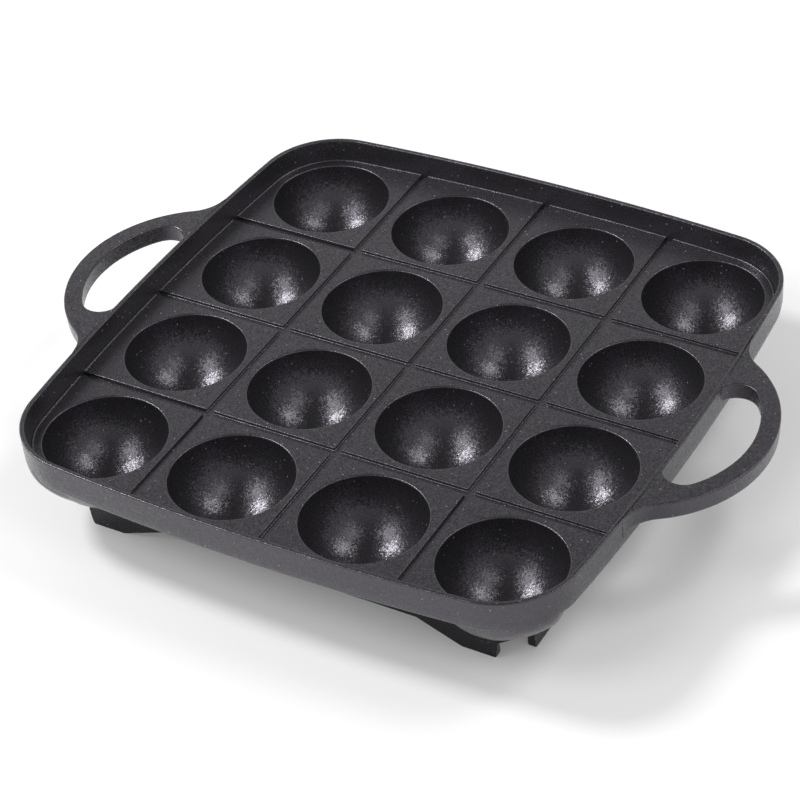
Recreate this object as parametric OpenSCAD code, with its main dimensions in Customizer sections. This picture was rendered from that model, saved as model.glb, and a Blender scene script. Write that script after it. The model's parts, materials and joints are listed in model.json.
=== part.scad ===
// Sixteen-cup takoyaki pan: one casting, drawn as the regions a founder would name.
// Millimetres, +Z up. The origin is under the middle of the pan, on the plane of its feet.
// +X runs from handle to handle and -Y is the front.

/* [Cups] */
// Inner diameter of a cup at the cooking surface
cup_d = 42; // [36:0.5:48]
// Wall thickness of a cup
cup_wall = 3; // [2:0.1:4]
// Gap between the outsides of two neighbouring cups
cup_gap = 1.5; // [0.8:0.1:8]
// Size of the broken edge round each mouth
lip = 0.4; // [0.3:0.1:1.2]

/* [Tray] */
// Thickness of the deck between the cups
deck_t = 5; // [4:0.1:6]
// Height of the rim above the cooking surface
rim_h = 8; // [6:0.5:14]
// Thickness of the wall at the cooking surface
wall_t = 3.15; // [3:0.05:5]
// Lean of the wall's inner face between the cooking surface and the rim
wall_draft = 1.5; // [0.5:0.1:2]
// Radius of the outer edge of the rim
edge_r = 0.5; // [0.3:0.1:0.8]
// How far the outer face has come in at the level of the cooking surface
outer_lean = 0.2; // [0.1:0.05:0.5]
// How far the outer face has come in where its lower edge starts to round
outer_draft = 0.65; // [0.5:0.05:0.9]
// Radius of the lower outer edge of the wall
low_r = 2.3; // [1:0.1:2.4]
// From the outside of the last cups to the widest place of the wall
wall_gap = 6.6; // [5:0.1:12]
// Radius of the slight outward bow of each side
bow_r = 930; // [700:10:2000]
// Corner radius on the outside of the wall
corner_r = 28; // [25:0.5:32]
// Width of the grooves between the cups
groove_w = 2.6; // [1.5:0.1:3]
// Depth of the grooves
groove_d = 1.1; // [0.6:0.1:1.4]

/* [Handles] */
// Reach of a handle beyond the widest place of the wall
handle_reach = 26.25; // [24:0.05:34]
// Radius of the handle's outer curve
handle_r = 45.6; // [43:0.1:52]
// Width of the grip bar, seen from above
bar_w = 6.5; // [5:0.1:8]
// Thickness of a handle
handle_t = 7.2; // [6:0.1:8]
// How far each side of a handle comes in towards its underside
handle_draft = 0.45; // [0.2:0.05:0.8]
// Radius of the lower edges of a handle
handle_low_r = 1.35; // [0.6:0.05:1.8]
// Radius of the web where a handle runs into the wall
web_r = 14; // [10:0.5:16]
// Radius of the corners of the finger opening
slot_r = 7; // [5:0.1:8]
// How far the finger opening's corners run into the wall
slot_sink = 1; // [0.6:0.1:2]

/* [Skirt] */
// Distance from the last cup centre to the outside of the skirt
skirt_out = 11.35; // [10:0.05:14]
// Thickness of the skirt
skirt_t = 3; // [2.4:0.1:4]
// How far the feet reach below the cups and the skirt's lower edge
foot_h = 6.3; // [5:0.1:9]
// Size of the corner cut of the skirt
skirt_cut = 8.6; // [8:0.1:12]
// Length of the flat underside of a foot
foot_flat = 12.2; // [10:0.1:16]
// Length of the slope from a foot up to the skirt
foot_slope = 16; // [10:0.1:20]
// How far the outer end of a foot leans in
foot_toe = 0.8; // [0.5:0.1:3]
// Radius of the ends of a foot's underside
foot_r = 0.6; // [0.4:0.1:2]

/* [Hidden] */

coating = [0.25, 0.25, 0.27];
coating_worn = [0.36, 0.35, 0.38];
far = 1;
cups_per_side = 4;
groove_slope = 1.5;

cup_r = cup_d / 2;
dome_r = cup_r + cup_wall;
cup_pitch = 2 * dome_r + cup_gap;
grid = cup_pitch * (cups_per_side - 1) / 2;
deck_h = foot_h + dome_r;
under_z = deck_h - deck_t;
rim_z = deck_h + rim_h;
half_w = grid + dome_r + wall_gap;

skirt_half = grid + skirt_out;

// Centre of the corner arc, so that it runs smoothly into two bowed sides
bow_e = bow_r - half_w;
corner_c = (sqrt(2 * pow(bow_r - corner_r, 2) - pow(bow_e, 2)) - bow_e) / 2;
bow_a = atan2(corner_c, corner_c + bow_e);

// How far the wall's outer face lies inside its widest place at height z, between rim edge and deck
function outer_in(z) = outer_lean * (rim_z - edge_r - z) / (rim_h - edge_r);

// Wall section, as [distance in from the widest place, height], up the outside and down the inside.
// The round lower edge is limited by the wall, and leaves a narrow flat beside the deck
low_flat = 0.1;
low_round = min(low_r, wall_t - outer_draft - low_flat);
wall_section = concat(
    [for (a = [90:-30:0]) [outer_draft + low_round * (1 - cos(a)), under_z + low_round * (1 - sin(a))]],
    [[outer_lean, deck_h]],
    [for (a = [0:30:90]) [edge_r * (1 - cos(a)), rim_z - edge_r * (1 - sin(a))]],
    [[wall_t - wall_draft, rim_z], [wall_t, deck_h], [wall_t, under_z]]
);

function arc(c, r, a0, a1, n) =
    [for (i = [0:n]) let (a = a0 + (a1 - a0) * i / n) c + r * [cos(a), sin(a)]];

// Plan of the tray, drawn in from the widest place
function tray_plan(inset) = [
    for (q = [0:3]) let (
        side = arc([-bow_e, 0], bow_r - inset, -bow_a, bow_a, 16),
        corner = arc([corner_c, corner_c], corner_r - inset, bow_a, 90 - bow_a, 20),
        run = concat([for (i = [0:15]) side[i]], [for (i = [0:19]) corner[i]])
    ) for (p = run) [p.x * cos(90 * q) - p.y * sin(90 * q), p.x * sin(90 * q) + p.y * cos(90 * q)]
];

// Solid bar through a row of rings, each going up one side of the bar and down the other.
// It closes on itself, or its two ends are closed by strips that join one side to the other
module bar(rings, closed) {
    n = len(rings[0]);
    end = (len(rings) - 1) * n;
    spans = [for (k = [0:len(rings) - (closed ? 1 : 2)]) [k * n, (k + 1) % len(rings) * n]];
    strips = closed ? [] : [for (i = [0:n / 2 - 2]) i];
    polyhedron(
        points = [for (ring = rings) for (p = ring) p],
        faces = concat(
            [for (k = spans, i = [0:n - 1]) let (j = (i + 1) % n) [k[0] + i, k[1] + j, k[1] + i]],
            [for (k = spans, i = [0:n - 1]) let (j = (i + 1) % n) [k[0] + i, k[0] + j, k[1] + j]],
            [for (i = strips) [i, n - 2 - i, i + 1]],
            [for (i = strips) [i, n - 1 - i, n - 2 - i]],
            [for (i = strips) [end + i, end + i + 1, end + n - 2 - i]],
            [for (i = strips) [end + i, end + n - 2 - i, end + n - 1 - i]]
        ),
        convexity = 6
    );
}

module at_cups() {
    for (i = [0:cups_per_side - 1], j = [0:cups_per_side - 1])
        translate([i * cup_pitch - grid, j * cup_pitch - grid, deck_h]) children();
}

// A groove as a channel along X with sloping sides, cut from the cooking surface
module groove() {
    translate([-half_w, 0, deck_h]) rotate([90, 0, 90]) linear_extrude(2 * half_w) polygon([
        [-groove_w / 2 - far, far * groove_slope], [-groove_w / 2 + groove_d / groove_slope, -groove_d],
        [groove_w / 2 - groove_d / groove_slope, -groove_d], [groove_w / 2 + far, far * groove_slope]
    ]);
}

module deck() {
    color(coating_worn) difference() {
        translate([0, 0, under_z]) linear_extrude(deck_t) polygon(tray_plan(wall_t));
        at_cups() {
            sphere(r = cup_r, $fn = 96);
            translate([0, 0, -2 * lip])
                cylinder(h = 2 * lip + far, r1 = cup_r - lip, r2 = cup_r + lip + far, $fn = 96);
        }
        for (turn = [0, 90], i = [1:cups_per_side - 1])
            rotate([0, 0, turn]) translate([0, (i - cups_per_side / 2) * cup_pitch, 0]) groove();
    }
}

// Wall of the tray, its section carried once round the plan
module rim_wall() {
    plans = [for (p = wall_section) tray_plan(p.x)];
    color(coating) bar([for (s = [0:len(plans[0]) - 1])
        [for (i = [0:len(plans) - 1]) [plans[i][s].x, plans[i][s].y, wall_section[i].y]]
    ], closed = true);
}

// Cup shell below the deck; x and y count from the front left
module cup(x, y) {
    translate([(x - 1) * cup_pitch - grid, (y - 1) * cup_pitch - grid, deck_h])
        color(coating) difference() {
            sphere(r = dome_r, $fn = 96);
            sphere(r = cup_r, $fn = 96);
            translate([0, 0, dome_r - deck_t]) cube(2 * dome_r, center = true);
        }
}

// Plan of a handle: a round bow with a web at each end that runs smoothly into the bowed wall.
// An edge is drawn in by inset, and the end against the wall lies wall_in inside the widest place
hub = [half_w + handle_reach - handle_r, 0];
wall_to_hub = hub.x + bow_e;
web_u = (pow(wall_to_hub, 2) + pow(bow_r + web_r, 2) - pow(handle_r + web_r, 2)) / (2 * wall_to_hub);
web = [web_u - bow_e, sqrt(pow(bow_r + web_r, 2) - pow(web_u, 2))];
web_a = atan2(web.y, web.x - hub.x);
wall_a = atan2(web.y, web_u);

// Angle by which a web's arc stops short of the point where it would touch the wall
function web_short(inset, wall_in) = acos(min(1,
    (pow(bow_r + web_r, 2) + pow(web_r + inset, 2) - pow(bow_r - wall_in, 2))
    / (2 * (bow_r + web_r) * (web_r + inset))
));

// Corner of the finger opening, and the angle at which its round edge runs out at the wall
slot = [
    half_w + slot_r - slot_sink,
    sqrt(pow(handle_r - bar_w - slot_r, 2) - pow(half_w + slot_r - slot_sink - hub.x, 2))
];
slot_a = atan2(slot.y, slot.x - hub.x);
function slot_open(inset, wall_in) = 180 - acos(min(1,
    (slot.x + bow_e - sqrt(pow(bow_r - wall_in, 2) - pow(slot.y, 2))) / (slot_r + inset)
));

// The two edges of half a handle, from the tip of the bow to the wall, with as many points each
bow_steps = 16;
web_steps = 8;
function tail(points) = [for (i = [1:len(points) - 1]) points[i]];
function outer_edge(inset, wall_in) = concat(
    arc(hub, handle_r - inset, 0, web_a, bow_steps),
    tail(arc(web, web_r + inset, 180 + web_a, 180 + wall_a + web_short(inset, wall_in), web_steps))
);
function inner_edge(inset, wall_in) = concat(
    arc(hub, handle_r - bar_w + inset, 0, slot_a, bow_steps),
    tail(arc(slot, slot_r + inset, slot_a, slot_open(inset, wall_in), web_steps))
);

// Levels of a handle from its underside up, as [height, inset, wall_in]; the rim's edge runs on round it
function low_level(a) = let (z = rim_z - handle_t + handle_low_r * (1 - sin(a)))
    [z, handle_draft + handle_low_r * (1 - cos(a)), outer_in(z)];
function high_level(a) = let (inset = edge_r * (1 - cos(a))) [rim_z - edge_r * (1 - sin(a)), inset, inset];
handle_levels = concat([for (a = [90:-30:0]) low_level(a)], [for (a = [0:30:90]) high_level(a)]);

// Handle on the +X side, a drafted bar that runs from the wall round the finger opening to the wall
module handle() {
    sides = [
        [for (l = handle_levels) outer_edge(l[1], l[2])],
        [for (l = handle_levels) inner_edge(l[1], l[2])]
    ];
    function spot(side, l, s) = let (p = sides[side][l][abs(s)]) [p.x, sign(s) * p.y, handle_levels[l][0]];
    top = len(handle_levels) - 1;
    ends = bow_steps + web_steps;
    color(coating) bar([for (s = [-ends:ends]) concat(
        [for (l = [0:top]) spot(0, l, s)],
        [for (l = [top:-1:0]) spot(1, l, s)]
    )], closed = false);
}

// Mitred plan points of the skirt, where a straight run meets a corner piece
mitre = skirt_t * tan(22.5);
run_out = skirt_half - skirt_cut;
run_in = run_out - mitre;

module under_cups() {
    difference() {
        children();
        at_cups() sphere(r = dome_r, $fn = 96);
    }
}

// Points of a round corner of radius r at p, between its neighbours a and b
function round_corner(a, p, b, r) = let (
    u = (a - p) / norm(a - p), v = (b - p) / norm(b - p), half = acos(u * v) / 2,
    c = p + (u + v) / norm(u + v) * r / sin(half),
    from = p + u * r / tan(half) - c, to = p + v * r / tan(half) - c, turn = 180 - 2 * half
) [for (t = [0:0.25:1]) c + (from * sin((1 - t) * turn) + to * sin(t * turn)) / sin(turn)];

// Half of the skirt's outline seen from the front, from the middle out, with its foot
foot_out = run_out - foot_toe;
foot_in = foot_out - foot_flat;
foot_rise = [foot_in - foot_slope, foot_h];
skirt_edge = concat(
    [foot_rise],
    round_corner(foot_rise, [foot_in, 0], [foot_out, 0], foot_r),
    round_corner([foot_in, 0], [foot_out, 0], [run_out, foot_h], foot_r),
    [[run_out, foot_h], [run_out, under_z]]
);

// Straight run of the skirt on the front, with a foot at each end
module skirt_run() {
    color(coating) under_cups() intersection() {
        linear_extrude(under_z) polygon([
            [-run_out, -skirt_half], [run_out, -skirt_half],
            [run_in, skirt_t - skirt_half], [-run_in, skirt_t - skirt_half]
        ]);
        rotate([90, 0, 0]) linear_extrude(skirt_half) polygon(concat(
            skirt_edge, [for (i = [len(skirt_edge) - 1:-1:0]) [-skirt_edge[i].x, skirt_edge[i].y]]
        ));
    }
}

// Corner piece of the skirt, at the back right
module skirt_corner() {
    color(coating) under_cups() translate([0, 0, foot_h]) linear_extrude(under_z - foot_h) polygon([
        [run_out, skirt_half], [run_in, skirt_half - skirt_t],
        [skirt_half - skirt_t, run_in], [skirt_half, run_out]
    ]);
}

deck();
rim_wall();
rotate([0, 0, 180]) handle();  // handle_left
handle();  // handle_right
for (x = [1:cups_per_side], y = [1:cups_per_side])
    cup(x, y);
skirt_run();  // skirt_front
rotate([0, 0, 180]) skirt_run();  // skirt_back
rotate([0, 0, -90]) skirt_run();  // skirt_left
rotate([0, 0, 90]) skirt_run();  // skirt_right
rotate([0, 0, 180]) skirt_corner();  // skirt_corner_fl
rotate([0, 0, -90]) skirt_corner();  // skirt_corner_fr
rotate([0, 0, 90]) skirt_corner();  // skirt_corner_bl
skirt_corner();  // skirt_corner_br
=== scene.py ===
import json
import math

import bmesh
import bpy
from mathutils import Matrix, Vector

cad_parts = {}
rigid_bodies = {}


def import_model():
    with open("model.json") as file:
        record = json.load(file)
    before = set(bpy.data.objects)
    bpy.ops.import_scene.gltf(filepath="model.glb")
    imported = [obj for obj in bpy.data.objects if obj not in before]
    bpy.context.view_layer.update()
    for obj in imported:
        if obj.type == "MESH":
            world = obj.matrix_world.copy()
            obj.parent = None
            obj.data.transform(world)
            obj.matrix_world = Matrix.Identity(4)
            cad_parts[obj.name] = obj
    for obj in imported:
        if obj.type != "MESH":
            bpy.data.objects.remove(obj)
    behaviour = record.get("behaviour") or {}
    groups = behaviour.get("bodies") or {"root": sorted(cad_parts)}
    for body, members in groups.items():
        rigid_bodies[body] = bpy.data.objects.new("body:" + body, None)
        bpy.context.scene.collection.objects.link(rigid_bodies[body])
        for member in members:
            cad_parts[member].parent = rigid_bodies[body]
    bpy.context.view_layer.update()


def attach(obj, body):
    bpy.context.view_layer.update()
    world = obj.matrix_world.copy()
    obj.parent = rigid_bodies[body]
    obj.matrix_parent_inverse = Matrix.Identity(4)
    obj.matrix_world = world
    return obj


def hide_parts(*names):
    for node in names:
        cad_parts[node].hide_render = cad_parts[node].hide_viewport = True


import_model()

mm = 0.001

# ---- Viewpoint -------------------------------------------------------------------------
# A long lens from the front right and well above, with the camera tipped a few degrees
# to its right, so that the pan runs downhill in the picture.
eye = Vector((396.43, -623.51, 611.50)) * mm
aim = Vector((6.22, -17.70, 30.3)) * mm
camera_roll = math.radians(-5.547)
lens_mm = 125.448
film_mm = 36

bpy.ops.object.camera_add(location=eye)
camera = bpy.context.object
camera.name = "viewpoint"
camera.rotation_euler = (aim - eye).to_track_quat("-Z", "Y").to_euler()
camera.rotation_euler.rotate_axis("Z", camera_roll)
camera.data.lens = lens_mm
camera.data.sensor_width = film_mm
camera.data.clip_start = 10 * mm
camera.data.clip_end = 20
bpy.context.scene.camera = camera

# ---- Tray wall -------------------------------------------------------------------------
# The low wall round the cooking surface. It is one ring of cast metal: four sides that bow
# out slightly and run into round corners, with a narrow flat land along the top.

# Sizes are in mm, and levels are heights above the plane of the feet
half_width = 104.85
bow_radius = 930
corner_radius = 28
rim_top = 38.3
cook_level = 30.3
under_level = 25.3
wall_thick = 3.15
# From the widest place in to the inner edge of the rim's land
rim_land = 1.65
rim_round = 0.5
rim_inner_round = 0.45
low_round = 2
# How far the outer face has come in at the cooking surface and at its foot
outer_lean = 0.2
outer_draft = 1.05

bow_centre = half_width - bow_radius
corner_at = (math.sqrt(2 * (bow_radius - corner_radius) ** 2 - bow_centre**2) + bow_centre) / 2
bow_angle = math.atan2(corner_at, corner_at - bow_centre)
half_side_steps = 12
corner_steps = 26
# Steps in a rounded corner per mm of its radius, and the fewest that it has
round_steps = 4
merge_gap = 0.004 * mm
smooth_angle = math.radians(32)


def only(obj):
    """Makes obj the one thing selected and active."""
    bpy.ops.object.select_all(action="DESELECT")
    obj.select_set(True)
    bpy.context.view_layer.objects.active = obj


def start_face(name, corners, across):
    """A face in edit mode with the given corners (a, b, rounding), which across puts in their
    places in mm. Corners with a rounding are bevelled."""
    bpy.ops.object.select_all(action="DESELECT")
    bpy.ops.mesh.primitive_circle_add(
        vertices=len(corners), radius=half_width * mm, fill_type="NGON", enter_editmode=True
    )
    obj = bpy.context.object
    obj.name = name
    obj.data.name = name
    mesh = bmesh.from_edit_mesh(obj.data)
    places = [Vector(across(a, b)) * mm for a, b, _ in corners]
    for vert, place in zip(list(mesh.verts), places):
        vert.co = place
    bmesh.update_edit_mesh(obj.data)
    for place, (_, _, rounding) in zip(places, corners):
        if rounding:
            pick(obj, "VERT", lambda v: (v.co - place).length < merge_gap)
            bpy.ops.mesh.bevel(
                affect="VERTICES",
                offset=rounding * mm,
                segments=max(round_steps, round(rounding * round_steps)),
                profile=0.5,
            )
    return obj


def pick(obj, domain, test):
    """In edit mode, selects the verts, edges or faces that pass the test."""
    bpy.ops.mesh.select_mode(type=domain)
    bpy.ops.mesh.select_all(action="DESELECT")
    mesh = bmesh.from_edit_mesh(obj.data)
    for item in {"VERT": mesh.verts, "EDGE": mesh.edges, "FACE": mesh.faces}[domain]:
        if test(item):
            item.select_set(True)
    bmesh.update_edit_mesh(obj.data)


def run_round_tray():
    """Spins the selected section, at the middle of the right side, once round the tray."""
    for quarter in range(4):
        for middle, angle, steps in (
            (Vector((bow_centre, 0, 0)), bow_angle, half_side_steps),
            (Vector((corner_at, corner_at, 0)), math.pi / 2 - 2 * bow_angle, corner_steps),
            (Vector((0, bow_centre, 0)), bow_angle, half_side_steps),
        ):
            turned = middle * mm
            for _ in range(quarter):
                turned = Vector((-turned.y, turned.x, 0))
            bpy.ops.mesh.spin(steps=steps, angle=angle, center=turned, axis=(0, 0, -1))
    bpy.ops.mesh.select_all(action="SELECT")
    bpy.ops.mesh.remove_doubles(threshold=merge_gap)
    bpy.ops.mesh.normals_make_consistent(inside=False)


def smooth(obj):
    """Leaves edit mode and shades the piece smooth, apart from its sharp edges."""
    bpy.ops.object.mode_set(mode="OBJECT")
    only(obj)
    bpy.ops.object.shade_smooth_by_angle(angle=smooth_angle)
    obj.modifiers.new("even shading", "WEIGHTED_NORMAL").keep_sharp = True
    bpy.ops.object.modifier_apply(modifier="even shading")


def finish(obj, *nodes, material=None):
    """Gives the piece its coating and its place on the pan."""
    smooth(obj)
    obj.data.materials.clear()
    obj.data.materials.append(material or coating)
    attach(obj, "root")
    if nodes:
        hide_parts(*nodes)


def linear(hex_colour):
    """sRGB hex to linear RGBA."""
    parts = [int(hex_colour[i : i + 2], 16) / 255 for i in (1, 3, 5)]
    return (*[c / 12.92 if c <= 0.04045 else ((c + 0.055) / 1.055) ** 2.4 for c in parts], 1)


def add(tree, kind, values=None, links=None, **settings):
    """Adds a shader node with its settings, socket values and incoming links."""
    made = tree.nodes.new(kind)
    for key, value in settings.items():
        setattr(made, key, value)
    for socket, value in (values or {}).items():
        made.inputs[socket].default_value = value
    for socket, source in (links or {}).items():
        tree.links.new(source, made.inputs[socket])
    return made


# PTFE non-stick coating sprayed on cast aluminium: dull charcoal, with a fine orange peel that
# breaks each highlight into grains, and mineral flecks that show as sparse pale points.
coating = bpy.data.materials.new("sprayed_ptfe_on_cast_aluminium")
coating.use_nodes = True
tree = coating.node_tree
shader = tree.nodes["Principled BSDF"]
place = add(tree, "ShaderNodeTexCoord").outputs["Object"]

# Flecks, drawn 0.5 mm wide so that they show, in some of the cells of a 2 mm pattern
fleck_pitch = 2
fleck_radius = 0.28
fleck_core = 0.6
bare_cells = 0.55
fleck_strength = 0.65
cells = add(
    tree,
    "ShaderNodeTexVoronoi",
    {"Scale": 1 / (fleck_pitch * mm), "Randomness": 1},
    {"Vector": place},
)
cell_draw = add(tree, "ShaderNodeSeparateColor", links={"Color": cells.outputs["Color"]})
near = add(
    tree,
    "ShaderNodeMapRange",
    {
        "From Min": fleck_radius / fleck_pitch * fleck_core,
        "From Max": fleck_radius / fleck_pitch,
        "To Min": 1,
        "To Max": 0,
    },
    {"Value": cells.outputs["Distance"]},
)
some = add(
    tree,
    "ShaderNodeMapRange",
    {"From Min": bare_cells, "From Max": 1, "To Min": 0, "To Max": fleck_strength},
    {"Value": cell_draw.outputs["Red"]},
)
fleck = add(
    tree, "ShaderNodeMath", links={0: near.outputs[0], 1: some.outputs[0]}, operation="MULTIPLY"
)

# Slow drift of the grey, as on a sprayed coat
drift_size = 30
drift = add(
    tree, "ShaderNodeTexNoise", {"Scale": 1 / (drift_size * mm), "Detail": 3}, {"Vector": place}
)
ground = add(
    tree,
    "ShaderNodeMix",
    {"A": linear("#1B1A1C"), "B": linear("#222024")},
    {"Factor": drift.outputs["Fac"]},
    name="ground",
    data_type="RGBA",
)
colour = add(
    tree,
    "ShaderNodeMix",
    {"B": linear("#A9A7AB")},
    {"Factor": fleck.outputs[0], "A": ground.outputs["Result"]},
    data_type="RGBA",
)
tree.links.new(colour.outputs["Result"], shader.inputs["Base Color"])

# Orange peel, drawn 0.55 mm wide so that it shows, in the sheen and in the surface
peel_size = 0.55
peel_height = 0.05
smoothest, roughest = 0.25, 0.33
peel = add(
    tree,
    "ShaderNodeTexNoise",
    {"Scale": 1 / (peel_size * mm), "Detail": 2, "Roughness": 0.6},
    {"Vector": place},
)
sheen = add(
    tree,
    "ShaderNodeMapRange",
    {"From Min": 0.3, "From Max": 0.7, "To Min": smoothest, "To Max": roughest},
    {"Value": peel.outputs["Fac"]},
)
tree.links.new(sheen.outputs[0], shader.inputs["Roughness"])
# The resin and pigments that bind the coat shine more than bare PTFE, and faintly violet
shader.inputs["IOR"].default_value = 1.65
shader.inputs["Specular Tint"].default_value = linear("#F8F2FF")
# Each droplet of the spray, drawn 0.5 mm wide so that it shows, leans its own way by a few degrees
droplet_size = 0.5
droplet_lean = 0.16
droplets = add(
    tree,
    "ShaderNodeTexVoronoi",
    {"Scale": 1 / (droplet_size * mm), "Randomness": 1},
    {"Vector": place},
)
lean = add(
    tree,
    "ShaderNodeVectorMath",
    {1: (0.5, 0.5, 0.5)},
    {0: droplets.outputs["Color"]},
    operation="SUBTRACT",
)
surface = add(tree, "ShaderNodeNewGeometry")
tilted = add(
    tree,
    "ShaderNodeVectorMath",
    {1: (droplet_lean, droplet_lean, droplet_lean)},
    {0: lean.outputs[0], 2: surface.outputs["Normal"]},
    operation="MULTIPLY_ADD",
)
facing = add(tree, "ShaderNodeVectorMath", links={0: tilted.outputs[0]}, operation="NORMALIZE")
relief = add(
    tree,
    "ShaderNodeBump",
    {"Strength": 1, "Distance": peel_height * mm},
    {"Height": peel.outputs["Fac"], "Normal": facing.outputs[0]},
)
tree.links.new(relief.outputs["Normal"], shader.inputs["Normal"])

wall = start_face(
    "tray_wall",
    [
        (0, rim_top, rim_round),
        (outer_lean, cook_level, 0),
        (outer_draft, under_level, low_round),
        (wall_thick, under_level, 0),
        (wall_thick, cook_level, 0),
        (rim_land, rim_top, rim_inner_round),
    ],
    lambda inset, level: (half_width - inset, 0, level),
)
# Only the section's outline goes round the tray
bpy.ops.mesh.select_all(action="SELECT")
bpy.ops.mesh.delete(type="ONLY_FACE")
bpy.ops.mesh.select_all(action="SELECT")
run_round_tray()
finish(wall, "rim_wall")

# ---- Deck ------------------------------------------------------------------------------
# The flat cooking surface between the cups, 5 mm thick, cast in one with the wall, into
# which it runs with a small fillet. Shallow grooves part it into sixteen pads.
cup_pitch = 49.5
cups_a_side = 4
hole_radius = 22.2
groove_width = 2.6
groove_depth = 1.1
fillet = 0.6
fillet_steps = 6
pad_round = 0.35
cup_segments = 96
edge_steps = 4
facing_up = 0.9
sharp_angle = math.radians(30)
# Within this many mm, points count as level or in line
hair = 0.01
last_cup = cup_pitch * (cups_a_side - 1) / 2

# A plane, merged to a point that draws the deck's outline, filled and made 5 mm thick
bpy.ops.object.select_all(action="DESELECT")
bpy.ops.mesh.primitive_plane_add(
    size=mm,
    location=((half_width - wall_thick) * mm, 0, (cook_level + fillet) * mm),
    enter_editmode=True,
)
deck = bpy.context.object
deck.name = "cooking_deck"
bpy.ops.object.mode_set(mode="OBJECT")
bpy.ops.object.transform_apply(location=True, rotation=True, scale=True)
bpy.ops.object.mode_set(mode="EDIT")
bpy.ops.mesh.select_all(action="SELECT")
bpy.ops.mesh.merge(type="CENTER")
bpy.ops.mesh.select_all(action="SELECT")
run_round_tray()
bpy.ops.mesh.select_all(action="SELECT")
bpy.ops.mesh.edge_face_add()
bpy.ops.mesh.extrude_region_move(
    TRANSFORM_OT_translate={"value": (0, 0, (under_level - cook_level - fillet) * mm)}
)
bpy.ops.mesh.select_all(action="SELECT")
bpy.ops.mesh.normals_make_consistent(inside=False)
# The fillet, as a quarter circle of insets that go down to the cooking surface
pick(deck, "FACE", lambda f: f.normal.z > facing_up)
for step in range(fillet_steps):
    a0, a1 = (math.pi / 2 * k / fillet_steps for k in (step, step + 1))
    bpy.ops.mesh.inset(
        thickness=fillet * (math.cos(a0) - math.cos(a1)) * mm,
        depth=-fillet * (math.sin(a1) - math.sin(a0)) * mm,
    )
bpy.ops.object.mode_set(mode="OBJECT")


def carve(obj, cutter):
    """Cuts the cutter away from obj and removes it."""
    only(obj)
    cut = obj.modifiers.new("carve", "BOOLEAN")
    cut.object = cutter
    cut.operation = "DIFFERENCE"
    cut.solver = "EXACT"
    bpy.ops.object.modifier_apply(modifier="carve")
    bpy.data.objects.remove(cutter, do_unlink=True)


# Cutter for the holes that the cups fill: sixteen round bars
bar_length = 30
bpy.ops.object.select_all(action="DESELECT")
for column in range(cups_a_side):
    for row in range(cups_a_side):
        x, y = column * cup_pitch - last_cup, row * cup_pitch - last_cup
        bpy.ops.mesh.primitive_cylinder_add(
            vertices=cup_segments,
            radius=hole_radius * mm,
            depth=bar_length * mm,
            location=(x * mm, y * mm, cook_level * mm),
        )
        bpy.context.object.name = f"mouth_bar_{column}_{row}"
bars = [o for o in bpy.data.objects if o.name.startswith("mouth_bar")]
for bar in bars:
    bar.select_set(True)
bpy.context.view_layer.objects.active = bars[0]
bpy.ops.object.join()
carve(deck, bars[0])

# Cutters for the grooves: six square bars that reach well past the deck
for turned in (False, True):
    for line in (-1, 0, 1):
        middle, sides = (0, line * cup_pitch), (3 * half_width, groove_width)
        if turned:
            middle, sides = middle[::-1], sides[::-1]
        bpy.ops.object.select_all(action="DESELECT")
        bpy.ops.mesh.primitive_cube_add(
            size=1,
            location=(middle[0] * mm, middle[1] * mm, cook_level * mm),
            scale=(sides[0] * mm, sides[1] * mm, 2 * groove_depth * mm),
        )
        carve(deck, bpy.context.object)

only(deck)
bpy.ops.object.mode_set(mode="EDIT")
bpy.ops.mesh.select_all(action="SELECT")
bpy.ops.mesh.remove_doubles(threshold=merge_gap)


def from_groove(place):
    """Distance in mm from the middle of the nearest groove, measured across it."""
    line = max(-1, min(1, round(place / cup_pitch)))
    return abs(place - line * cup_pitch)


def along_groove(edge):
    """Whether an edge is a shoulder, a foot or an upright corner of a groove's side."""
    start, end = (v.co / mm for v in edge.verts)
    if min(start.z, end.z) < cook_level - groove_depth - hair:
        return False
    beside = any(
        abs(start[k] - end[k]) < hair and abs(from_groove(start[k]) - groove_width / 2) < hair
        for k in (0, 1)
    )
    upright = abs(start.z - end.z) > 0.6 * groove_depth
    inside = max(abs(c) for p in (start, end) for c in p.xy) < half_width - wall_thick - 2 * hair
    sharp = len(edge.link_faces) == 2 and edge.calc_face_angle() > sharp_angle
    return beside and sharp and (inside or not upright)


# The seams across the grooves' floors go first, because the bevel would fold over them. It
# still turns slim faces over at the grooves' outer ends, which is an open fault
pick(
    deck,
    "FACE",
    lambda f: f.normal.z > facing_up
    and abs(f.calc_center_median().z - (cook_level - groove_depth) * mm) < merge_gap,
)
bpy.ops.mesh.dissolve_limited(angle_limit=math.radians(1))
pick(deck, "EDGE", along_groove)
bpy.ops.mesh.bevel(
    offset=pad_round * mm, segments=edge_steps, profile=0.5, affect="EDGES", clamp_overlap=False
)
finish(deck, "deck")

# ---- Cups ------------------------------------------------------------------------------
# Sixteen half-round moulds that hang below the deck. Each is a shell 3 mm thick with a
# broken edge round its mouth, cast with the deck.
bowl_radius = 21
dome_radius = 24
mouth_round = 0.5
cup_rings = 48
dome_steps = 20

bpy.ops.object.select_all(action="DESELECT")
bpy.ops.mesh.primitive_uv_sphere_add(
    segments=cup_segments, ring_count=cup_rings, radius=bowl_radius * mm, enter_editmode=True
)
cup = bpy.context.object
cup.name = "cup_master"
pick(cup, "VERT", lambda v: v.co.z > merge_gap)
bpy.ops.mesh.delete(type="VERT")
pick(cup, "EDGE", lambda e: e.is_boundary)
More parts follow.
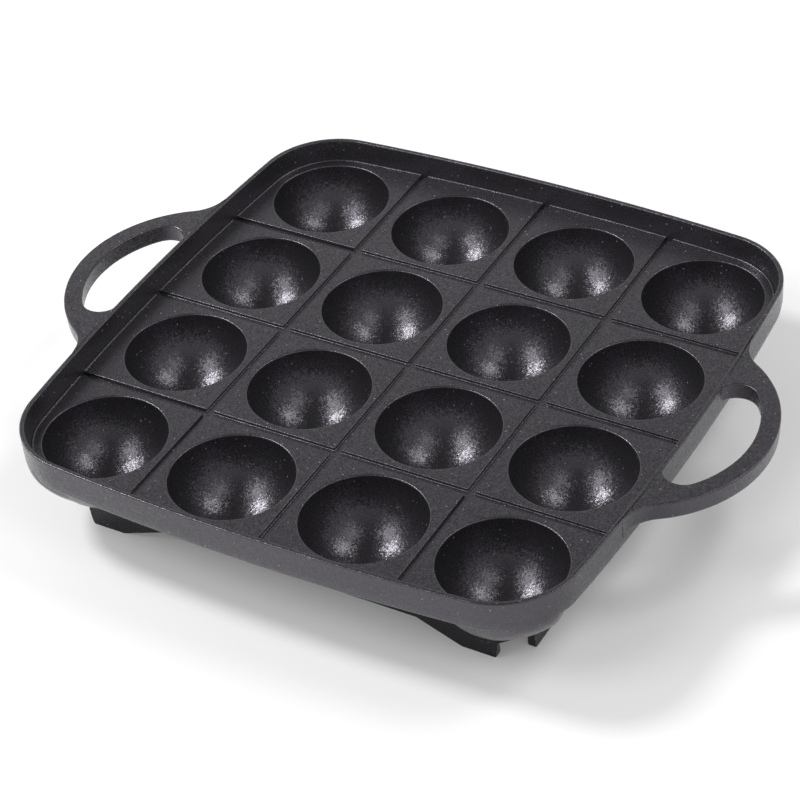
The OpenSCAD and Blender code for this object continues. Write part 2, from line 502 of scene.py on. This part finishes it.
# From the bowl's mouth out to the hole in the deck, down it, out to the dome, and down that
bpy.ops.mesh.extrude_edges_move()
bpy.ops.transform.resize(value=(hole_radius / bowl_radius, hole_radius / bowl_radius, 1))
bpy.ops.mesh.extrude_edges_move(
    TRANSFORM_OT_translate={"value": (0, 0, (under_level - cook_level) * mm)}
)
dome_start = math.asin((cook_level - under_level) / dome_radius)
collar = dome_radius * math.cos(dome_start)
bpy.ops.mesh.extrude_edges_move()
bpy.ops.transform.resize(value=(collar / hole_radius, collar / hole_radius, 1))
for step in range(1, dome_steps):
    a0 = dome_start + (math.pi / 2 - dome_start) * (step - 1) / dome_steps
    a1 = dome_start + (math.pi / 2 - dome_start) * step / dome_steps
    bpy.ops.mesh.extrude_edges_move(
        TRANSFORM_OT_translate={"value": (0, 0, dome_radius * (math.sin(a0) - math.sin(a1)) * mm)}
    )
    shrink = math.cos(a1) / math.cos(a0)
    bpy.ops.transform.resize(value=(shrink, shrink, 1))
# The last ring closes in a point, which goes down to the bottom of the dome
bpy.ops.mesh.extrude_edges_move()
bpy.ops.mesh.merge(type="CENTER")
last_ring = dome_radius * math.sin(a1)
between = (bowl_radius + dome_radius) / 2
pick(cup, "VERT", lambda v: v.co.xy.length < merge_gap and v.co.z < -between * mm)
bpy.ops.transform.translate(value=(0, 0, (last_ring - dome_radius) * mm))


def on_mouth(vert):
    """Whether a point lies on the edge of the bowl's mouth."""
    return abs(vert.co.z) < merge_gap and abs(vert.co.xy.length - bowl_radius * mm) < merge_gap


pick(cup, "EDGE", lambda e: all(on_mouth(v) for v in e.verts))
bpy.ops.mesh.bevel(offset=mouth_round * mm, segments=edge_steps, profile=0.5, affect="EDGES")
bpy.ops.mesh.select_all(action="SELECT")
bpy.ops.mesh.normals_make_consistent(inside=False)
bpy.ops.object.mode_set(mode="OBJECT")

for column in range(cups_a_side):
    for row in range(cups_a_side):
        only(cup)
        bpy.ops.object.duplicate(linked=False)
        copy = bpy.context.object
        copy.name = f"cup_{column + 1}_{row + 1}_shell"
        x, y = column * cup_pitch - last_cup, row * cup_pitch - last_cup
        bpy.ops.transform.translate(value=(x * mm, y * mm, cook_level * mm))
        bpy.ops.object.transform_apply(location=True, rotation=True, scale=True)
        finish(copy, f"cup_{column + 1}_{row + 1}")
bpy.data.objects.remove(cup, do_unlink=True)

# ---- Corner blends ---------------------------------------------------------------------
# At the corners the wall's outer face runs on down into the dome of the corner cup without
# an edge. Each blend is a skin over wall and dome, cast with them, that fades out sideways.
# Down the corner: it leaves the wall at the top, bellies out and meets the dome at its foot,
# which is an angle below the dome's middle
blend_top = 31
blend_pull = 23.6
blend_belly = 0.4
blend_foot = math.radians(46)
blend_foot_pull = 11.5
# Along the corner: half of the full width, and the width over which it fades
blend_half = math.radians(14)
blend_fade = math.radians(32)
blend_skin = 1.6
# How far its top starts inside the wall's face, and where it lies under the dome once faded
blend_sunk = 0.08
sunk_dome = dome_radius - 0.3
sunk_top = math.radians(5)
across_steps = 96
down_steps = 28


def ease(x):
    """Runs from 0 to 1 as x does, with level ends."""
    x = min(1, max(0, x))
    return x * x * (3 - 2 * x)


def on_blend(across, down):
    """Place in mm on the back right blend, across from -1 to 1 and down from 0 to 1."""
    aside = across * (blend_half + blend_fade)
    wide = ease((blend_half + blend_fade - abs(aside)) / blend_fade)
    # Distance from the cup's axis to the wall's outer face
    off = (last_cup - corner_at) * math.sqrt(2)
    face_radius = corner_radius - outer_lean
    wall_at = math.sqrt(face_radius**2 - (off * math.sin(aside)) ** 2) - off * math.cos(aside)
    # A curve of four points, down from just inside the wall and on to the dome
    foot_cos, foot_sin = math.cos(blend_foot), math.sin(blend_foot)
    dome_out, dome_up = dome_radius * foot_cos, cook_level - dome_radius * foot_sin
    points = (
        (wall_at - blend_sunk, blend_top),
        (wall_at + blend_belly, blend_pull),
        (dome_out + blend_foot_pull * foot_sin, dome_up + blend_foot_pull * foot_cos),
        (dome_out, dome_up),
    )
    shares = ((1 - down) ** 3, 3 * down * (1 - down) ** 2, 3 * down**2 * (1 - down), down**3)
    full_out, full_up = (sum(w * p[k] for w, p in zip(shares, points)) for k in (0, 1))
    # Where it has faded out it lies under the dome's surface
    below = sunk_top + (blend_foot - sunk_top) * down
    faded_out, faded_up = sunk_dome * math.cos(below), cook_level - sunk_dome * math.sin(below)
    out = faded_out + (full_out - faded_out) * wide
    up = faded_up + (full_up - faded_up) * wide**2
    turn = aside + math.pi / 4
    return Vector((last_cup + out * math.cos(turn), last_cup + out * math.sin(turn), up))


bpy.ops.object.select_all(action="DESELECT")
bpy.ops.mesh.primitive_grid_add(
    x_subdivisions=across_steps, y_subdivisions=down_steps, size=2, enter_editmode=True
)
blend = bpy.context.object
mesh = bmesh.from_edit_mesh(blend.data)
for vert in mesh.verts:
    vert.co = on_blend(vert.co.x, (1 - vert.co.y) / 2) * mm
bmesh.update_edit_mesh(blend.data)
bpy.ops.object.mode_set(mode="OBJECT")
only(blend)
skin = blend.modifiers.new("skin", "SOLIDIFY")
skin.thickness = blend_skin * mm
skin.offset = -1
bpy.ops.object.modifier_apply(modifier="skin")
for corner_name, degrees in {"br": 0, "bl": 90, "fl": 180, "fr": 270}.items():
    only(blend)
    bpy.ops.object.duplicate(linked=False)
    copy = bpy.context.object
    copy.name = "corner_blend_" + corner_name
    bpy.ops.object.mode_set(mode="EDIT")
    bpy.ops.mesh.select_all(action="SELECT")
    bpy.ops.mesh.normals_make_consistent(inside=False)
    bpy.ops.transform.rotate(
        value=-math.radians(degrees), orient_axis="Z", center_override=(0, 0, 0)
    )
    finish(copy)
bpy.data.objects.remove(blend, do_unlink=True)

# ---- Handles ---------------------------------------------------------------------------
# A loop at each end of the pan, cast with the wall: a flat-topped bar bent to a round bow,
# whose ends widen into the wall on both sides of the finger opening. The sides taper down.
reach = 26.25
bow_outside = 45.6
bar_width = 6.5
bar_thick = 7.2
bar_taper = 0.45
bar_low_round = 1.35
bar_low_steps = 6
web_round = 14
slot_round = 7
slot_into_wall = 1
bow_arc_steps = 40
web_arc_steps = 16

bow_at = Vector((half_width + reach - bow_outside, 0))
# The web's centre is a web radius outside both the wall's side and the bow
span = bow_at.x - bow_centre
along = (span**2 + (bow_radius + web_round) ** 2 - (bow_outside + web_round) ** 2) / (2 * span)
web_at = Vector((bow_centre + along, math.sqrt((bow_radius + web_round) ** 2 - along**2)))
web_turn = math.atan2(web_at.y, web_at.x - bow_at.x)
wall_turn = math.atan2(web_at.y, along)
inside_round = bow_outside - bar_width
slot_at = Vector((half_width + slot_round - slot_into_wall, 0))
slot_at.y = math.sqrt((inside_round - slot_round) ** 2 - (slot_at.x - bow_at.x) ** 2)
slot_turn = math.atan2(slot_at.y, slot_at.x - bow_at.x)
# The handle's root reaches into the wall as far as the flat land of the rim
root_radius = bow_radius - rim_round
root_x = bow_centre + math.sqrt(root_radius**2 - slot_at.y**2)
slot_start = math.pi - math.acos((slot_at.x - root_x) / slot_round)


def spin_end(centre, turn, steps):
    """Spins the selected end of a wire about an upright axis, anticlockwise seen from above."""
    bpy.ops.mesh.spin(
        steps=steps, angle=turn, center=(*centre * mm, rim_top * mm), axis=(0, 0, -1)
    )


bpy.ops.object.select_all(action="DESELECT")
bpy.ops.mesh.primitive_plane_add(size=mm, location=(0, 0, 0), enter_editmode=True)
handle = bpy.context.object
handle.name = "handle_right_loop"
bpy.ops.mesh.merge(type="CENTER")
bpy.ops.mesh.select_all(action="SELECT")
# The inner edge of half a loop, from the tip of the bow to the wall
bpy.ops.transform.translate(value=((half_width + reach - bar_width) * mm, 0, rim_top * mm))
spin_end(bow_at, slot_turn, bow_arc_steps)
spin_end(slot_at, slot_start - slot_turn, web_arc_steps)
# The outer edge, with as many points, its last step straight into the wall
pick(handle, "VERT", lambda v: abs(v.co.y) < merge_gap)
bpy.ops.mesh.duplicate_move(TRANSFORM_OT_translate={"value": (bar_width * mm, 0, 0)})
spin_end(bow_at, web_turn, bow_arc_steps)
spin_end(web_at, wall_turn - web_turn, web_arc_steps - 1)
into_wall = (-rim_round * math.cos(wall_turn) * mm, -rim_round * math.sin(wall_turn) * mm, 0)
bpy.ops.mesh.extrude_region_move(TRANSFORM_OT_translate={"value": into_wall})
# Bridged, and mirrored to the whole loop
bpy.ops.mesh.select_all(action="SELECT")
bpy.ops.mesh.bridge_edge_loops()
bpy.ops.mesh.select_all(action="SELECT")
bpy.ops.mesh.duplicate_move()
bpy.ops.transform.resize(value=(1, -1, 1), center_override=(0, 0, rim_top * mm))
bpy.ops.mesh.select_all(action="SELECT")
bpy.ops.mesh.remove_doubles(threshold=merge_gap)
bpy.ops.mesh.normals_make_consistent(inside=False)
# Down to its underside, which is the narrower one
bpy.ops.mesh.select_all(action="SELECT")
bpy.ops.mesh.extrude_region_move(TRANSFORM_OT_translate={"value": (0, 0, -rim_round * mm)})
pick(
    handle,
    "FACE",
    lambda f: abs(f.normal.z) > facing_up
    and f.calc_center_median().z < (rim_top - rim_round / 2) * mm,
)
bpy.ops.mesh.inset(thickness=bar_taper * mm, depth=0)
bpy.ops.transform.translate(value=(0, 0, (rim_round - bar_thick) * mm))
bpy.ops.mesh.select_all(action="SELECT")
bpy.ops.mesh.normals_make_consistent(inside=False)


def root_line(edge):
    """Whether an edge of the handle lies on its root, inside the wall."""
    inside = (bow_radius - 2 * hair) * mm
    return all(math.hypot(v.co.x - bow_centre * mm, v.co.y) < inside for v in edge.verts)


for level, rounding, steps in (
    (rim_top, rim_round, edge_steps),
    (rim_top - bar_thick, bar_low_round, bar_low_steps),
):
    pick(
        handle,
        "EDGE",
        lambda e: all(abs(v.co.z - level * mm) < merge_gap for v in e.verts)
        and e.calc_face_angle() > sharp_angle
        and not root_line(e),
    )
    bpy.ops.mesh.bevel(
        offset=rounding * mm, segments=steps, profile=0.5, affect="EDGES", clamp_overlap=False
    )

bpy.ops.object.mode_set(mode="OBJECT")
only(handle)
bpy.ops.object.duplicate(linked=False)
left_handle = bpy.context.object
left_handle.name = "handle_left_loop"
bpy.ops.object.mode_set(mode="EDIT")
bpy.ops.mesh.select_all(action="SELECT")
bpy.ops.transform.rotate(value=math.pi, orient_axis="Z", center_override=(0, 0, 0))
finish(handle, "handle_right")
finish(left_handle, "handle_left")

# ---- Skirt and feet --------------------------------------------------------------------
# A thin web under the deck that ties the outer cups together, square with cut corners. Each
# side comes down near its ends to a flat foot with a long slope on the inside.
skirt_side = last_cup + 11.35
skirt_thick = 3
skirt_level = 6.3
skirt_corner_cut = 8.6
foot_length = 12.2
foot_slope = 16
foot_toe = 0.8
foot_round = 0.6
skirt_round = 0.4
skirt_round_steps = 3
# An edge to round has one face that looks down by this much and one that is nearly upright
facing_down = -0.3
near_upright = 0.1
ridge_angle = math.radians(50)
# How far the skirt reaches into a cup's shell
into_shell = 0.5
dome_seat = dome_radius - into_shell

run_end = skirt_side - skirt_corner_cut
mitre = skirt_thick * math.tan(math.pi / 8)
foot_out = run_end - foot_toe
foot_in = foot_out - foot_length


def clear_of_domes(obj, spots):
    """Cuts away what would reach through the cups' shells into their bowls."""
    for x, y in spots:
        bpy.ops.object.select_all(action="DESELECT")
        bpy.ops.mesh.primitive_uv_sphere_add(
            segments=cup_segments,
            ring_count=cup_rings,
            radius=dome_seat * mm,
            location=(x * mm, y * mm, cook_level * mm),
        )
        carve(obj, bpy.context.object)


def low_ridge(edge):
    """Whether an edge at the foot of the skirt lies between an upright and a downward face."""
    tilts = [f.normal.z for f in edge.link_faces]
    return (
        len(tilts) == 2
        and min(tilts) < facing_down
        and min(abs(t) for t in tilts) < near_upright
        and edge.calc_face_angle() > ridge_angle
        and max(v.co.z for v in edge.verts) < (skirt_level + 1) * mm
    )


def soften(obj):
    """Rounds the lower edges of a skirt piece."""
    only(obj)
    bpy.ops.object.mode_set(mode="EDIT")
    bpy.ops.mesh.select_all(action="SELECT")
    bpy.ops.mesh.normals_make_consistent(inside=False)
    pick(obj, "EDGE", low_ridge)
    bpy.ops.mesh.bevel(
        offset=skirt_round * mm,
        segments=skirt_round_steps,
        profile=0.5,
        affect="EDGES",
        clamp_overlap=True,
    )
    bpy.ops.object.mode_set(mode="OBJECT")


half_outline = [
    (foot_in - foot_slope, skirt_level, 0),
    (foot_in, 0, foot_round),
    (foot_out, 0, foot_round),
    (run_end, skirt_level, 0),
    (run_end, under_level, 0),
]
run = start_face(
    "skirt_front_run",
    half_outline + [(-a, b, r) for a, b, r in reversed(half_outline)],
    lambda a, b: (a, -skirt_side, b),
)
bpy.ops.mesh.select_all(action="SELECT")
bpy.ops.mesh.extrude_region_move(TRANSFORM_OT_translate={"value": (0, skirt_thick * mm, 0)})
# Its back is shorter than its front, for the mitres
for side in (-1, 1):
    pick(
        run,
        "VERT",
        lambda v: v.co.y > (skirt_thick / 2 - skirt_side) * mm
        and side * v.co.x > (run_end - hair) * mm,
    )
    bpy.ops.transform.translate(value=(-side * mitre * mm, 0, 0))
bpy.ops.object.mode_set(mode="OBJECT")
soften(run)
clear_of_domes(run, [(column * cup_pitch - last_cup, -last_cup) for column in range(cups_a_side)])

corner = start_face(
    "skirt_corner_br_piece",
    [
        (run_end, skirt_side, 0),
        (run_end - mitre, skirt_side - skirt_thick, 0),
        (skirt_side - skirt_thick, run_end - mitre, 0),
        (skirt_side, run_end, 0),
    ],
    lambda a, b: (a, b, under_level),
)
bpy.ops.mesh.select_all(action="SELECT")
bpy.ops.mesh.extrude_region_move(
    TRANSFORM_OT_translate={"value": (0, 0, (skirt_level - under_level) * mm)}
)
bpy.ops.object.mode_set(mode="OBJECT")
soften(corner)
clear_of_domes(corner, [(last_cup, last_cup)])

# Painted shade: a darker copy of the same coating, with a weaker sheen, for the skirt. The skirt
# sits under the pan in shade, and this keeps it nearly black where it would otherwise show the
# pale floor. Its real coat is the same as the rest.
shaded_skirt_coating = coating.copy()
shaded_skirt_coating.name = "ptfe_overspray_on_cast_aluminium"
painted_shade_nodes = shaded_skirt_coating.node_tree.nodes
# A weaker sheen and a darker grey, both painted shade
painted_shade_nodes["Principled BSDF"].inputs["IOR"].default_value = 1.3
painted_shade_nodes["ground"].inputs["A"].default_value = linear("#141315")
painted_shade_nodes["ground"].inputs["B"].default_value = linear("#19181A")

for master, turned in (
    (run, {"skirt_front": 0, "skirt_right": 90, "skirt_back": 180, "skirt_left": 270}),
    (
        corner,
        {
            "skirt_corner_br": 0,
            "skirt_corner_bl": 90,
            "skirt_corner_fl": 180,
            "skirt_corner_fr": 270,
        },
    ),
):
    for node, degrees in turned.items():
        only(master)
        bpy.ops.object.duplicate(linked=False)
        piece = bpy.context.object
        piece.name = node + "_web"
        bpy.ops.object.mode_set(mode="EDIT")
        bpy.ops.mesh.select_all(action="SELECT")
        bpy.ops.transform.rotate(
            value=-math.radians(degrees), orient_axis="Z", center_override=(0, 0, 0)
        )
        # The skirt pieces take the coating darkened as painted shade
        finish(piece, node, material=shaded_skirt_coating)
    bpy.data.objects.remove(master, do_unlink=True)

# ---- Lights and ground -----------------------------------------------------------------
# A pale floor, a sky that is bright low down and dark above, and four soft lamps high up: two
# to the left and two to the right, each of which puts a grainy spot of light into every cup.
floor_size = 6
bpy.ops.object.select_all(action="DESELECT")
bpy.ops.mesh.primitive_plane_add(size=floor_size, location=(0, 0, 0))
floor = bpy.context.object
floor.name = "floor"
# White paper: matt, and lifted a little for the camera and for mirrored rays
paper = bpy.data.materials.new("white_paper_sweep")
paper.use_nodes = True
tree = paper.node_tree
rays = add(tree, "ShaderNodeLightPath")
# The camera sees the paper a shade darker, so that the pan's shadow isn't lost in the white
tone = add(
    tree,
    "ShaderNodeMix",
    {"A": linear("#F2F2F2"), "B": linear("#E0E0E0")},
    {"Factor": rays.outputs["Is Camera Ray"]},
    data_type="RGBA",
)
diffuse = add(tree, "ShaderNodeBsdfDiffuse", links={"Color": tone.outputs["Result"]})
lift = add(tree, "ShaderNodeEmission", {"Strength": 0.12})
seen = add(
    tree,
    "ShaderNodeMath",
    links={0: rays.outputs["Is Camera Ray"], 1: rays.outputs["Is Glossy Ray"]},
    operation="MAXIMUM",
)
lifted = add(tree, "ShaderNodeAddShader", links={0: diffuse.outputs[0], 1: lift.outputs[0]})
mixed = add(
    tree,
    "ShaderNodeMixShader",
    links={0: seen.outputs[0], 1: diffuse.outputs[0], 2: lifted.outputs[0]},
)
tree.links.new(mixed.outputs[0], tree.nodes["Material Output"].inputs["Surface"])
floor.data.materials.append(paper)

lamp_distance = 1.4


def lamp(name, direction, size, strength):
    """A round soft lamp that shines on the pan from a direction."""
    away = Vector(direction).normalized() * lamp_distance
    bpy.ops.object.light_add(type="AREA", location=away + Vector((0, 0, cook_level * mm)))
    made = bpy.context.object
    made.name = name
    made.rotation_euler = (-away).to_track_quat("-Z", "Y").to_euler()
    made.data.shape = "DISK"
    made.data.size = size
    made.data.energy = strength


lamp("left_softbox", (-0.68, -0.10, 0.73), 0.3, 11.5)
lamp("left_front_softbox", (-0.43, -0.52, 0.74), 0.6, 5)
lamp("right_softbox", (0.43, 0.40, 0.80), 0.5, 5)
lamp("right_front_softbox", (0.55, -0.16, 0.82), 0.6, 2.5)

# The sky fades from a low height to a high one, and is plain white where the camera sees it
low, high = 0.45, 0.85
low_strength, high_strength = 0.9, 0.1
world = bpy.data.worlds.new("studio")
bpy.context.scene.world = world
world.use_nodes = True
tree = world.node_tree
sky = tree.nodes["Background"]
sky.inputs["Color"].default_value = (1, 1, 1, 1)
heading = add(tree, "ShaderNodeTexCoord").outputs["Generated"]
height = add(tree, "ShaderNodeSeparateXYZ", links={0: heading}).outputs["Z"]
fade = add(
    tree,
    "ShaderNodeMapRange",
    {"From Min": low, "From Max": high, "To Min": low_strength, "To Max": high_strength},
    {"Value": height},
)
rays = add(tree, "ShaderNodeLightPath")
strength = add(
    tree,
    "ShaderNodeMix",
    {"B": 1.0},
    {"Factor": rays.outputs["Is Camera Ray"], "A": fade.outputs[0]},
    data_type="FLOAT",
)
tree.links.new(strength.outputs["Result"], sky.inputs["Strength"])

bpy.context.scene.view_settings.view_transform = "Standard"
